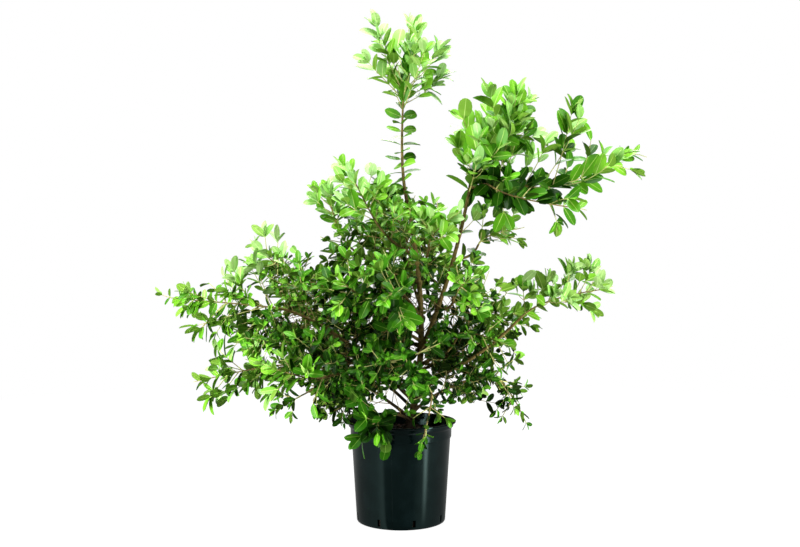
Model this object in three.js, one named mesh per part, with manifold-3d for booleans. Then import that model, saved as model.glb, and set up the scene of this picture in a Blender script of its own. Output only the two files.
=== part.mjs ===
// A young broad-leaved evergreen shrub in a plain nursery pot.
// A slender trunk leans up out of the soil and carries boughs on all sides. Each bough ends in a mass of
// opposite-leaved shoots, and the trunk ends in an upright tuft.
// Millimetres, +Z up, the front towards -Y. The origin is on the ground under the middle of the pot.
import * as THREE from "three";
import { mergeVertices } from "three/addons/utils/BufferGeometryUtils.js";
import Module from "manifold-3d";

const wasm = await Module();
wasm.setup();

// Pot: radii are outer ones unless they say inner, depths are measured down from the rim.
const POT = {
  height: 253,
  rim: 140,
  lip: 4.5,
  edge: 1,
  band: 133.5,
  bandDepth: 13,
  bandDraft: 1,
  collar: 129,
  collarDraft: 0.6,
  collarTop: 18,
  collarDepth: 38,
  shoulder: 126.3,
  shoulderDepth: 41,
  foot: 112.4,
  chamfer: 2.5,
  innerMouth: 131,
  innerCollar: 125.6,
  innerFoot: 108.4,
  floor: 4,
  facets: 40,
};
const SLOT = { count: 8, first: -28.5, width: 8, low: 7, high: 24, deep: 16 };
const SOIL = { top: 226, edge: 221, flat: 92 };

// Clearances between neighbours.
const SEAT = 0.3;
const LEAF_CLEARANCE = 0.8;
const BLADE_CLEARANCE = 0.4;
const SPACE_MARGIN = 2;
const POT_CLEARANCE = 3;

// Trunk and boughs: a bough leaves the limb it is on at a share of that limb's length. bow is how far the
// middle leaves the straight line, and the radii are those of the foot and the tip.
const TRUNK = {
  foot: [9, 0, 196], tip: [14, 0, 815], bow: [40, -2, -26], radius: [9.5, 4.6], sides: 9, steps: 12,
};
const FLARE = { at: 0.045, radius: 18, waist: 11.7, waistAt: 0.4, neck: 8.5, height: 36, facets: 12 };
const BOUGH = { sides: 5, steps: 4 };
const BOUGHS = {
  right_leader: { on: "trunk", at: 0.38, tip: [176, -50, 862], bow: [10, -4, -14], radius: [6.2, 4] },
  plume_arm: { on: "right_leader", at: 0.955, tip: [330, -62, 842], bow: [4, 0, 8], radius: [3.6, 3] },
  plume_under: { on: "plume_arm", at: 0.16, tip: [226, -100, 838], bow: [0, 0, 6], radius: [2.8, 2.4] },
  right_shoot: { on: "right_leader", at: 0.55, tip: [196, -20, 700], bow: [8, 0, -10], radius: [3.4, 2.6] },
  right_arm: { on: "trunk", at: 0.24, tip: [304, -32, 518], bow: [10, 0, -16], radius: [5.4, 3.2] },
  right_low: { on: "trunk", at: 0.13, tip: [222, -20, 366], bow: [0, 0, 18], radius: [4.2, 2.6] },
  right_mid: { on: "trunk", at: 0.3, tip: [140, -72, 470], bow: [6, -6, -12], radius: [4, 2.8] },
  front_right: { on: "right_leader", at: 0.26, tip: [128, -132, 566], bow: [6, -14, -9], radius: [3.8, 2.8] },
  left_arm: { on: "trunk", at: 0.17, tip: [-318, -22, 540], bow: [-26, 0, 52], radius: [5.6, 3.2] },
  left_upper: { on: "trunk", at: 0.45, tip: [-236, 8, 604], bow: [-12, 0, 22], radius: [4.6, 3] },
  left_low: { on: "trunk", at: 0.1, tip: [-236, 62, 386], bow: [-6, 0, 24], radius: [4.4, 2.8] },
  left_mid: { on: "trunk", at: 0.21, tip: [-142, -72, 408], bow: [-8, -6, 14], radius: [4.2, 2.8] },
  left_front: { on: "left_mid", at: 0.5, tip: [-182, -146, 378], bow: [-4, -8, 10], radius: [3, 2.4] },
  left_hang: { on: "left_low", at: 0.5, tip: [-206, -36, 344], bow: [-4, -8, 14], radius: [3.2, 2.4] },
  upper_left: { on: "trunk", at: 0.77, tip: [-60, -58, 752], bow: [-8, -6, -6], radius: [3.8, 2.6] },
  upper_left_back: { on: "trunk", at: 0.66, tip: [-132, 20, 696], bow: [-10, 2, -8], radius: [4, 2.6] },
  centre_front: { on: "trunk", at: 0.52, tip: [2, -118, 582], bow: [-4, -10, 6], radius: [4, 2.6] },
  centre_left: { on: "trunk", at: 0.42, tip: [-84, -98, 556], bow: [-8, -10, 0], radius: [4, 2.6] },
  centre_top: { on: "trunk", at: 0.72, tip: [70, -62, 700], bow: [6, -4, -8], radius: [3.6, 2.6] },
  centre_low: { on: "trunk", at: 0.26, tip: [20, -116, 414], bow: [0, -12, 8], radius: [4, 2.6] },
  front_drape: { on: "trunk", at: 0.09, tip: [-48, -146, 284], bow: [0, -6, 12], radius: [4, 2.6] },
  front_trail: { on: "trunk", at: 0.185, tip: [72, -112, 342], bow: [4, -8, 10], radius: [3.6, 2.4] },
  back_left: { on: "trunk", at: 0.4, tip: [-162, 176, 496], bow: [-8, 12, 0], radius: [4.8, 3] },
  back_right: { on: "trunk", at: 0.32, tip: [182, 190, 488], bow: [8, 14, -8], radius: [4.8, 3] },
  back_mid: { on: "trunk", at: 0.56, tip: [22, 168, 640], bow: [0, 14, -6], radius: [4.2, 2.8] },
  back_low_left: { on: "trunk", at: 0.14, tip: [-122, 196, 368], bow: [-6, 10, 16], radius: [4.4, 2.8] },
  back_low_right: { on: "trunk", at: 0.16, tip: [142, 196, 366], bow: [6, 10, 16], radius: [4.2, 2.8] },
  back_upper: { on: "trunk", at: 0.74, tip: [12, 84, 726], bow: [0, 8, -8], radius: [3.8, 2.6] },
};

// Foliage masses. The stem runs from the limb's end to its tip. Pairs of shoots leave it from the share first
// on, each pair crossed with the last, up to reach long and splay degrees off its line, and bend upwards by
// lift. shorten is the share of reach that is lost by the tip, leaf is a leaf's length, and leafy counts the
// leaf pairs below the first shoots.
const MASSES = {
  crown_tuft: {
    on: "trunk", tip: [14, 0, 1184], leafy: 4, pairs: 3, first: 0.62,
    reach: 215, splay: 46, lift: 0.3, leaf: 48,
  },
  plume_inner: {
    on: "right_leader", tip: [284, -36, 1016], pairs: 4, first: 0.05,
    reach: 156, splay: 58, lift: 0.5, leaf: 50,
  },
  plume_outer: {
    on: "plume_arm", tip: [544, -60, 914], pairs: 4, first: 0.06,
    reach: 222, splay: 56, lift: 0.75, shorten: 0.82, leaf: 52,
  },
  plume_skirt: {
    on: "plume_under", tip: [430, -112, 786], pairs: 3, first: 0.05,
    reach: 70, splay: 62, lift: -0.3, shorten: -0.3, leaf: 60,
  },
  right_shoot: {
    on: "right_shoot", tip: [284, -26, 738], pairs: 3, first: 0.1,
    reach: 80, splay: 52, lift: 0.2, leaf: 46,
  },
  right_arm: {
    on: "right_arm", tip: [498, -42, 586], pairs: 3, first: 0.06,
    reach: 100, splay: 56, lift: 0.45, leaf: 50,
  },
  right_low: {
    on: "right_low", tip: [304, -22, 276], pairs: 3, first: 0.08,
    reach: 92, splay: 56, lift: -0.1, leaf: 36,
  },
  right_mid: {
    on: "right_mid", tip: [230, -108, 464], pairs: 3, first: 0.05,
    reach: 104, splay: 62, lift: 0, leaf: 44,
  },
  front_right: {
    on: "front_right", tip: [150, -206, 606], pairs: 3, first: 0.06,
    reach: 84, splay: 60, lift: 0.1, leaf: 50,
  },
  left_arm: {
    on: "left_arm", tip: [-556, -22, 562], pairs: 4, first: 0.05,
    reach: 150, splay: 56, lift: -0.35, shorten: 0.75, leaf: 54,
  },
  left_upper: {
    on: "left_upper", tip: [-358, 6, 684], pairs: 3, first: 0.06,
    reach: 118, splay: 56, lift: 0.5, leaf: 52,
  },
  left_low: {
    on: "left_low", tip: [-500, 70, 352], pairs: 3, first: 0.05,
    reach: 130, splay: 56, lift: 0.1, leaf: 48,
  },
  left_mid: {
    on: "left_mid", tip: [-300, -96, 452], pairs: 3, first: 0.06,
    reach: 124, splay: 60, lift: 0, leaf: 48,
  },
  left_front: {
    on: "left_front", tip: [-292, -192, 402], pairs: 3, first: 0.05,
    reach: 104, splay: 60, lift: -0.1, leaf: 54,
  },
  left_hang: {
    on: "left_hang", tip: [-296, -46, 296], pairs: 3, first: 0.08,
    reach: 64, splay: 56, lift: -0.4, leaf: 46,
  },
  upper_left: {
    on: "upper_left", tip: [-112, -74, 850], pairs: 3, first: 0.08,
    reach: 92, splay: 56, lift: 0.3, leaf: 54,
  },
  upper_left_back: {
    on: "upper_left_back", tip: [-184, 20, 820], pairs: 3, first: 0.08,
    reach: 76, splay: 54, lift: 0.3, leaf: 44,
  },
  centre_front: {
    on: "centre_front", tip: [-28, -212, 574], pairs: 3, first: 0.06,
    reach: 106, splay: 62, lift: 0, leaf: 54,
  },
  centre_left: {
    on: "centre_left", tip: [-134, -160, 602], pairs: 3, first: 0.08,
    reach: 100, splay: 60, lift: 0.1, leaf: 50,
  },
  centre_top: {
    on: "centre_top", tip: [118, -96, 758], pairs: 3, first: 0.06,
    reach: 100, splay: 60, lift: 0.1, leaf: 48,
  },
  centre_low: {
    on: "centre_low", tip: [8, -204, 436], pairs: 3, first: 0.05,
    reach: 130, splay: 64, lift: 0, leaf: 46,
  },
  front_drape: {
    on: "front_drape", tip: [-54, -188, 268], pairs: 3, first: 0.06,
    reach: 72, splay: 60, lift: -0.15, leaf: 54,
  },
  front_trail: {
    on: "front_trail", tip: [50, -168, 226], pairs: 3, first: 0.08,
    reach: 60, splay: 54, lift: -0.1, leaf: 34,
  },
  back_left: {
    on: "back_left", tip: [-300, 276, 520], pairs: 3, first: 0.05,
    reach: 160, splay: 60, lift: 0.1, leaf: 50,
  },
  back_right: {
    on: "back_right", tip: [310, 282, 520], pairs: 3, first: 0.05,
    reach: 160, splay: 60, lift: 0.1, leaf: 50,
  },
  back_mid: {
    on: "back_mid", tip: [28, 294, 680], pairs: 3, first: 0.05,
    reach: 150, splay: 62, lift: 0.1, leaf: 50,
  },
  back_low_left: {
    on: "back_low_left", tip: [-214, 300, 334], pairs: 3, first: 0.05,
    reach: 140, splay: 60, lift: 0, leaf: 48,
  },
  back_low_right: {
    on: "back_low_right", tip: [236, 298, 336], pairs: 3, first: 0.05,
    reach: 140, splay: 60, lift: 0, leaf: 48,
  },
  back_upper: {
    on: "back_upper", tip: [-4, 150, 790], pairs: 3, first: 0.06,
    reach: 110, splay: 58, lift: 0.2, leaf: 48,
  },
};

// Twigs are square, with a leaf or a shoot on each of two opposite sides at every node, and their radii are
// at the corners. Leaves are a little larger than life, because each stands for several.
const STEM = { radius: [2.8, 1.7], sides: 4, steps: 4, marks: 8, straight: 0.3, roll: 0.4 };
const SHOOT = {
  radius: [2, 1.3], sides: 4, steps: 3, bare: 0.15, gap: 52, shorten: 0.45,
  splayRange: 12, lengthRange: [0.8, 1.15], rollRange: 0.5,
};
const NODE = { half: 2.2, end: 3 };
const LEAF = {
  swell: 1.42, width: 0.5, fold: 0.05, near: 0.34, far: 0.74, farWidth: 0.86, open: 62, twist: 0.75,
  lengthRange: [0.85, 1.1], lastOpen: 0.6, axisPull: 1.5,
};
const PETIOLE = 5;
const FORK = 11;
const STEEP = 0.95;
const SEED = { shoots: 11, leaves: 500 };

// Colour and roughness of each kind of surface.
const FINISH = {
  pot: [0x141c1c, 0.4],
  soil: [0x2c231b, 0.95],
  bark: [0x6b5a44, 0.85],
  foliage: [0x4f9a25, 0.5],
};

const UP = new THREE.Vector3(0, 0, 1);
const vector = (place) => new THREE.Vector3(...place);

// Even draws between low and high from a seeded stream.
function dice(seed) {
  let state = seed >>> 0;
  return (low, high) => {
    state = (state + 0x6d2b79f5) >>> 0;
    let mixed = Math.imul(state ^ (state >>> 15), state | 1);
    mixed ^= mixed + Math.imul(mixed ^ (mixed >>> 7), mixed | 61);
    return low + (high - low) * (((mixed ^ (mixed >>> 14)) >>> 0) / 4294967296);
  };
}

// Solids and meshes

function weld(geometry) {
  geometry.deleteAttribute("normal");
  geometry.deleteAttribute("uv");
  const welded = mergeVertices(geometry);
  const corners = Array.from(welded.index.array);
  const kept = [];
  for (let i = 0; i < corners.length; i += 3) {
    const [a, b, c] = corners.slice(i, i + 3);
    if (a !== b && b !== c && c !== a) kept.push(a, b, c);
  }
  welded.setIndex(kept);
  return welded;
}

function solid(geometry) {
  return new wasm.Manifold(new wasm.Mesh({
    numProp: 3,
    vertProperties: Float32Array.from(geometry.attributes.position.array),
    triVerts: Uint32Array.from(geometry.index.array),
  }));
}

// The largest outer body, without loose scraps or sealed hollows.
function mainBody(body) {
  return body.decompose().reduce((best, piece) => (piece.volume() > best.volume() ? piece : best));
}

function meshOf(name, body, material) {
  const { vertProperties, triVerts } = body.getMesh();
  const geometry = new THREE.BufferGeometry();
  geometry.setAttribute("position", new THREE.BufferAttribute(vertProperties, 3));
  geometry.setIndex(new THREE.BufferAttribute(triVerts, 1));
  geometry.computeVertexNormals();
  const mesh = new THREE.Mesh(geometry, material);
  mesh.name = name;
  return mesh;
}

function turned(profile, facets) {
  const points = profile.map(([radius, height]) => new THREE.Vector2(radius, height));
  return weld(new THREE.LatheGeometry(points, facets).rotateX(Math.PI / 2));
}

// Pot and soil

function makePot() {
  const { height, rim, lip, band, bandDepth, collar, collarTop, collarDepth, shoulder, shoulderDepth } = POT;
  const { foot, chamfer, innerMouth, innerCollar, innerFoot, floor } = POT;
  const shell = solid(turned([
    [0, 0],
    [foot - chamfer, 0],
    [foot, chamfer],
    [shoulder, height - shoulderDepth],
    [collar - POT.collarDraft, height - collarDepth],
    [collar, height - collarTop],
    [band, height - bandDepth],
    [band + POT.bandDraft, height - lip],
    [rim, height - lip],
    [rim, height - POT.edge],
    [rim - POT.edge, height],
    [innerMouth, height],
    [innerCollar, height - collarTop],
    [innerFoot, floor],
    [0, floor],
  ], POT.facets));
  const holes = [];
  for (let i = 0; i < SLOT.count; i++) {
    const hole = new THREE.BoxGeometry(SLOT.width, SLOT.deep, SLOT.high - SLOT.low);
    hole.translate(0, -foot, (SLOT.high + SLOT.low) / 2);
    hole.rotateZ(THREE.MathUtils.degToRad(SLOT.first + (i * 360) / SLOT.count));
    holes.push(solid(weld(hole)));
  }
  return shell.subtract(wasm.Manifold.union(holes));
}

function makeSoil() {
  const { height, collarTop, innerCollar, innerFoot, floor } = POT;
  const innerAt = (z) => innerFoot + ((innerCollar - innerFoot) * (z - floor)) / (height - collarTop - floor);
  const bottom = floor + SEAT;
  return solid(turned([
    [0, bottom],
    [innerAt(bottom) - SEAT, bottom],
    [innerAt(SOIL.edge) - SEAT, SOIL.edge],
    [SOIL.flat, SOIL.top],
    [0, SOIL.top],
  ], POT.facets));
}

// Limbs and twigs

function bowed(foot, tip, bow) {
  const control = foot.clone().lerp(tip, 0.5).addScaledVector(bow, 2);
  return new THREE.QuadraticBezierCurve3(foot, control, tip);
}

// A tapering round limb along a curve, with extra added to its radius.
function limbSolid(curve, { radius: [foot, end], sides, steps }, extra = 0) {
  const geometry = weld(new THREE.CylinderGeometry(1, 1, 1, sides, steps));
  const frames = curve.computeFrenetFrames(steps);
  const place = geometry.attributes.position;
  for (let i = 0; i < place.count; i++) {
    const ring = Math.round((place.getY(i) + 0.5) * steps);
    const radius = THREE.MathUtils.lerp(foot, end, ring / steps) + extra;
    const point = curve.getPointAt(ring / steps)
      .addScaledVector(frames.normals[ring], place.getX(i) * radius)
      .addScaledVector(frames.binormals[ring], -place.getZ(i) * radius);
    place.setXYZ(i, point.x, point.y, point.z);
  }
  return solid(geometry);
}

// The trunk and its root flare above the soil, with extra added to their radius.
function makeTrunk(curve, extra = 0) {
  const { at, radius, waist, waistAt, neck, height, facets } = FLARE;
  const flare = turned([
    [0, SOIL.top],
    [radius + extra, SOIL.top],
    [waist + extra, SOIL.top + height * waistAt],
    [neck + extra, SOIL.top + height],
    [0, SOIL.top + height],
  ], facets);
  const { x, y } = curve.getPointAt(at);
  flare.translate(x, y, 0);
  const size = 4 * radius;
  const below = new THREE.BoxGeometry(size, size, size).translate(x, y, SOIL.top + SEAT - size / 2);
  return limbSolid(curve, TRUNK, extra).add(solid(flare)).subtract(solid(weld(below)));
}

const curves = { trunk: bowed(vector(TRUNK.foot), vector(TRUNK.tip), vector(TRUNK.bow)) };
const limbs = { trunk: makeTrunk(curves.trunk) };
for (const [name, { on, at, tip, bow, radius }] of Object.entries(BOUGHS)) {
  const socket = on === "trunk"
    ? makeTrunk(curves.trunk, SEAT)
    : limbSolid(curves[on], { ...BOUGH, radius: BOUGHS[on].radius }, SEAT);
  curves[name] = bowed(curves[on].getPointAt(at), vector(tip), vector(bow));
  limbs[name] = mainBody(limbSolid(curves[name], { ...BOUGH, radius }).subtract(socket));
}

// Foliage

function stemCurve({ on, tip }) {
  const along = curves[on].getTangentAt(1);
  const start = curves[on].getPointAt(1).addScaledVector(along, SEAT);
  const bend = start.clone().addScaledVector(along, STEM.straight * start.distanceTo(vector(tip)));
  return new THREE.QuadraticBezierCurve3(start, bend, vector(tip));
}

const stems = {};
for (const [name, row] of Object.entries(MASSES)) stems[name] = stemCurve(row);
const stemPoints = {};
for (const [name, stem] of Object.entries(stems)) stemPoints[name] = stem.getPoints(STEM.marks);

// A mass's own space: the points nearer to its stem than to any other, clear of the pot.
function inSpace(name, point) {
  const isLow = point.z < POT.height + POT_CLEARANCE;
  if (isLow && Math.hypot(point.x, point.y) < POT.rim + POT_CLEARANCE) return false;
  const reach = (other) => Math.min(...stemPoints[other].map((mark) => mark.distanceTo(point)));
  const own = reach(name) + SPACE_MARGIN;
  return Object.keys(stems).every((other) => other === name || reach(other) > own);
}

// A unit vector square to axis, turned by angle from the level.
function sideways(axis, angle) {
  const level = Math.abs(axis.z) > STEEP ? new THREE.Vector3(1, 0, 0) : UP.clone().cross(axis).normalize();
  level.addScaledVector(axis, -level.dot(axis)).normalize();
  return level.applyAxisAngle(axis, angle);
}

// Where a twig is at a share of its length, which way it runs, and the four ways square to that.
function twigFrame(twig, share) {
  const foot = twig.curve.getPointAt(share);
  const axis = twig.curve.getTangentAt(share);
  const side = twig.level.clone().addScaledVector(axis, -twig.level.dot(axis)).normalize();
  const other = axis.clone().cross(side);
  return { foot, axis, ways: [other, side.clone().negate(), other.clone().negate(), side] };
}

const leaning = (axis, way, degrees) => {
  const angle = THREE.MathUtils.degToRad(degrees);
  return axis.clone().multiplyScalar(Math.cos(angle)).addScaledVector(way, Math.sin(angle)).normalize();
};

// A side shoot that sets off between the stem's line and its side, and bends up or hangs by its lift.
function shootFrom({ foot, axis, ways }, side, share, { reach, splay, lift, shorten = SHOOT.shorten }, draw) {
  const way = leaning(axis, ways[side], splay + draw(-SHOOT.splayRange, SHOOT.splayRange));
  const length = reach * (1 - shorten * share) * draw(...SHOOT.lengthRange);
  const half = length / 2;
  const middle = foot.clone().addScaledVector(way, half);
  const tip = middle.clone().addScaledVector(way.clone().addScaledVector(UP, lift).normalize(), half);
  const curve = new THREE.QuadraticBezierCurve3(foot, middle, tip);
  const level = sideways(way, draw(-SHOOT.rollRange, SHOOT.rollRange));
  return { curve, radius: SHOOT.radius, level, way, length, nodes: [] };
}

// A keeled blade: its root and tip lie on the keel, and its edges rise beside it.
function leafFrom({ foot, axis, ways }, side, size, isLast, draw) {
  const length = size * LEAF.swell * draw(...LEAF.lengthRange);
  const way = leaning(axis, ways[side], isLast ? LEAF.open * LEAF.lastOpen : LEAF.open);
  const across = axis.clone().multiplyScalar(LEAF.axisPull).add(UP).cross(way).normalize();
  across.applyAxisAngle(way, draw(-LEAF.twist, LEAF.twist));
  const face = way.clone().cross(across);
  const half = (LEAF.width * length) / 2;
  const at = (along, aside, rise) => foot.clone().addScaledVector(way, along * length)
    .addScaledVector(across, aside * half).addScaledVector(face, rise * length);
  const edges = [
    at(LEAF.near, -1, LEAF.fold),
    at(LEAF.far, -LEAF.farWidth, LEAF.fold),
    at(1, 0, 0),
    at(LEAF.far, LEAF.farWidth, LEAF.fold),
    at(LEAF.near, 1, LEAF.fold),
  ];
  return { way, edges, isLeaf: true };
}

// The blade as a solid of its own, to find what it would touch.
function bladeSolid(foot, { edges }) {
  const geometry = new THREE.BufferGeometry().setFromPoints([foot, ...edges]);
  geometry.setIndex([0, 1, 5, 1, 2, 4, 1, 4, 5, 2, 3, 4, 0, 3, 1, 1, 3, 2, 0, 5, 3, 5, 4, 3]);
  return solid(geometry);
}

const obstacles = Object.values(limbs);
const isClear = (piece, others, gap) => others.every((other) => piece.minGap(other, gap) >= gap);

// Keeps a leaf or shoot only in its own space, clear of limbs and of what the mass already has.
function keeps(name, bud, end, piece, pieces) {
  const outer = piece.translate(bud.way.clone().multiplyScalar(bud.isLeaf ? PETIOLE : FORK).toArray());
  const fits = inSpace(name, end)
    && isClear(piece, obstacles, LEAF_CLEARANCE)
    && isClear(outer, pieces, BLADE_CLEARANCE);
  if (fits) pieces.push(piece);
  return fits;
}

// A mass as a stem with nodes: pairs of shoots and pairs of leaves by turns, each pair crossed with the last.
function planMass(name, row, seed) {
  const curve = stems[name];
  const stem = { curve, radius: STEM.radius, level: sideways(curve.getTangentAt(0), STEM.roll), nodes: [] };
  const pieces = [limbSolid(curve, STEM)];
  const draw = dice(seed);
  const shoots = [];
  const { first, pairs, leafy = 0 } = row;
  const last = 1 - NODE.end / curve.getLength();
  for (let k = 1; k <= leafy; k++) {
    stem.nodes.push({ share: (first * k) / (leafy + 1), turn: k % 2, buds: [] });
  }
  for (let k = 0; k <= 2 * pairs; k++) {
    const share = first + ((last - first) * k) / (2 * pairs);
    const turn = ((k + 1) >> 1) % 2;
    const node = { share, turn, buds: [] };
    stem.nodes.push(node);
    if (k % 2 === 1 || k === 2 * pairs) continue;
    for (const side of [turn, turn + 2]) {
      const shoot = shootFrom(twigFrame(stem, share), side, share, row, draw);
      const piece = limbSolid(shoot.curve, SHOOT);
      if (!keeps(name, shoot, shoot.curve.getPoint(1), piece, pieces)) continue;
      node.buds[side] = shoot;
      shoots.push(shoot);
    }
  }
  for (const shoot of shoots) {
    const span = 1 - NODE.end / shoot.curve.getLength() - SHOOT.bare;
    const count = Math.max(1, Math.round((shoot.length * span) / SHOOT.gap));
    for (let k = 1; k <= count; k++) {
      const share = SHOOT.bare + (span * k) / count;
      shoot.nodes.push({ share, turn: k % 2, buds: [] });
    }
  }
  const leafDraw = dice(seed + SEED.leaves);
  for (const twig of [stem, ...shoots]) {
    twig.nodes.forEach((node, k) => {
      const frame = twigFrame(twig, node.share);
      for (const side of [node.turn, node.turn + 2]) {
        if (node.buds[side]) continue;
        const leaf = leafFrom(frame, side, row.leaf, k === twig.nodes.length - 1, leafDraw);
        if (keeps(name, leaf, leaf.edges[2], bladeSolid(frame.foot, leaf), pieces)) node.buds[side] = leaf;
      }
    });
  }
  return stem;
}

// The plan as one closed skin: rings of four corners joined by walls, with leaves and shoots drawn out of
// the walls.
function skinOf(stem) {
  const points = [];
  const faces = [];
  const add = (point) => points.push(point) - 1;
  const quad = ([a, b, c, d]) => faces.push(a, b, c, a, c, d);
  const sideOf = (low, high, j) => [low[j], low[(j + 1) % 4], high[(j + 1) % 4], high[j]];

  function ring(twig, share) {
    const { foot, ways } = twigFrame(twig, share);
    const radius = THREE.MathUtils.lerp(...twig.radius, share) * Math.SQRT1_2;
    return [0, 1, 2, 3].map((j) => add(
      foot.clone().addScaledVector(ways[j], radius).addScaledVector(ways[(j + 3) % 4], radius)));
  }

  // The ring's corners counted from the one nearest to the first corner below it.
  function matched(below, above) {
    const drift = (shift) => below.reduce((sum, corner, j) => (
      sum + points[corner].distanceTo(points[above[(j + shift) % 4]])), 0);
    const best = [0, 1, 2, 3].reduce((a, b) => (drift(b) < drift(a) ? b : a));
    return below.map((corner, j) => above[(j + best) % 4]);
  }

  function drawLeaf([a, b, c, d], { edges }) {
    const [nearLeft, farLeft, tip, farRight, nearRight] = edges.map(add);
    faces.push(d, nearLeft, c, c, nearLeft, nearRight, nearLeft, farLeft, farRight);
    faces.push(nearLeft, farRight, nearRight, farLeft, tip, farRight);
    faces.push(a, b, tip, a, tip, nearLeft, nearLeft, tip, farLeft);
    faces.push(b, nearRight, tip, nearRight, farRight, tip);
    faces.push(a, nearLeft, d, b, c, nearRight);
  }

  function drawTwig(base, twig) {
    let below = base;
    const half = NODE.half / twig.curve.getLength();
    for (const { share, buds } of twig.nodes) {
      const low = ring(twig, share - half);
      const high = ring(twig, share + half);
      const joined = matched(below, low);
      for (let j = 0; j < 4; j++) {
        quad(sideOf(below, joined, j));
        const side = sideOf(low, high, j);
        if (!buds[j]) quad(side);
        else if (buds[j].isLeaf) drawLeaf(side, buds[j]);
        else drawTwig(side, buds[j]);
      }
      below = high;
    }
    quad(below);
  }

  const base = ring(stem, 0);
  quad([...base].reverse());
  drawTwig(base, stem);
  const geometry = new THREE.BufferGeometry().setFromPoints(points);
  geometry.setIndex(faces);
  return geometry;
}

const finish = ([color, roughness]) => new THREE.MeshStandardMaterial({ color, roughness, metalness: 0 });

const part = new THREE.Group();
part.add(meshOf("pot", makePot(), finish(FINISH.pot)));
part.add(meshOf("soil", makeSoil(), finish(FINISH.soil)));
for (const [name, body] of Object.entries(limbs)) {
  part.add(meshOf(name === "trunk" ? name : `${name}_bough`, body, finish(FINISH.bark)));
}
Object.entries(MASSES).forEach(([name, row], i) => {
  const body = solid(skinOf(planMass(name, row, SEED.shoots + i)));
  obstacles.push(body);
  part.add(meshOf(`${name}_leaves`, body, finish(FINISH.foliage)));
});

export default part;
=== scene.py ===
from collections import namedtuple
from math import cos, exp, hypot, pi, radians, sin, sqrt
from types import SimpleNamespace as Named

import bpy
import numpy as np
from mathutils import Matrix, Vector, noise


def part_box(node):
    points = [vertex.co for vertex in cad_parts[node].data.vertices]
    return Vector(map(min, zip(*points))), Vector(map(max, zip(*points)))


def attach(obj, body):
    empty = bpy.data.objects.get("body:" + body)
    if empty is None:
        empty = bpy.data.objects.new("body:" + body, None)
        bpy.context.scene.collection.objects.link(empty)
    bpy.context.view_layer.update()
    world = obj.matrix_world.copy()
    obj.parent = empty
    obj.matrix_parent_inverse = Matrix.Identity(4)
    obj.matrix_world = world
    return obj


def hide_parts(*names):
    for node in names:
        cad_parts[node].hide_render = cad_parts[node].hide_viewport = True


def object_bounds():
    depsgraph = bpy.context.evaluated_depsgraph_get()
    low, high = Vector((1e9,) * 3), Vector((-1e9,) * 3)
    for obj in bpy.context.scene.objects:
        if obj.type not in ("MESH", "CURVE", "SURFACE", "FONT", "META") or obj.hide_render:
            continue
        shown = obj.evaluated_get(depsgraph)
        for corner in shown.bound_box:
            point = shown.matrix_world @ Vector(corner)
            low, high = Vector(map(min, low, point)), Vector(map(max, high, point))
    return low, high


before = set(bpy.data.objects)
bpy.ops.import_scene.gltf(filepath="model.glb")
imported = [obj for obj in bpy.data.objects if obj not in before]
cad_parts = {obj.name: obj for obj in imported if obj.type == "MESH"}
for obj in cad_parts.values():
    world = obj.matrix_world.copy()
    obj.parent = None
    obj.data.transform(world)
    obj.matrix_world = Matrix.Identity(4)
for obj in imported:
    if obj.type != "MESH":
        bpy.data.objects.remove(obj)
cad_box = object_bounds()
scene = bpy.context.scene

MM = 0.001
UP = np.array([0.0, 0.0, 1.0])
SEEDS = Named(mass=11, fine=511, bare=1011, shoots=1511, inner=900, chips=77)

# Pot: radius and height of each corner of its profile, outside from the foot up and inside from the rim down.
POT_HEIGHT, POT_RIM = 253, 140
POT_OUTER = [
    (0, 4.6), (96, 4.6), (99, 0.4), (109.3, 0), (111.3, 0.7), (112.4, 2.5), (113, 10), (125.9, 209.5),
    (126.4, 211.6), (127.9, 212.4), (128.4, 213.6), (128.5, 216), (128.6, 222), (129, 234.6), (130, 236.6),
    (132.8, 239.2), (133.6, 240.6), (134.4, 247.4), (135.4, 248.4), (138.8, 248.6), (139.7, 249.4),
    (140, 250.8), (139.7, 252.2), (138.6, 253),
]
POT_INNER = [
    (132.4, 253), (131, 252), (128, 242), (125.6, 235), (123.4, 210), (108.4, 6), (106.4, 4.3), (0, 4.3),
]
POT_SIDES = 144
SLOT = Named(count=8, first=-28.5, width=8, low=7, high=24, deep=16, radius=112.4)
SEAM = Named(angle=-10.9, width=1.1, height=0.4, low=9, high=210)

# Soil: flat in the middle, lower at the edge. Its lumps have a height, waves to the millimetre and a layer.
SOIL = Named(top=226, edge=221, flat=92, radius=124, inset=0.6, sunk=1.5, rings=30, sides=90)
SOIL_FOOT = Named(radius=107.6, height=6)
SOIL_LUMPS = ((3.2, 0.05, 0), (1.8, 0.16, 9))
CHIP = Named(count=420, radius=116, long=(5, 16), wide=(3, 7), high=(1.5, 4), sunk=0.4)
CHIP_RAGGED, CHIP_UNEVEN = (0.75, 1), (-0.6, 0.6)
CHIP_CORNERS = (
    (-1, -1, 0), (1, -1, 0), (1, 1, 0), (-1, 1, 0),
    (-0.7, -0.7, 1), (0.8, -0.5, 1), (0.6, 0.8, 1), (-0.8, 0.6, 1),
)
CHIP_FACES = ((0, 3, 2, 1), (4, 5, 6, 7), (0, 1, 5, 4), (1, 2, 6, 5), (2, 3, 7, 6), (3, 0, 4, 7))

TRUNK = Named(foot=(9, 0, 196), tip=(14, 0, 815), bow=(40, -2, -26), radius=(9.5, 4.6))
FLARE = Named(height=36, shares=(0, 0.4, 1, 2), radii=(18, 11.7, 8.5, 0))

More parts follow.
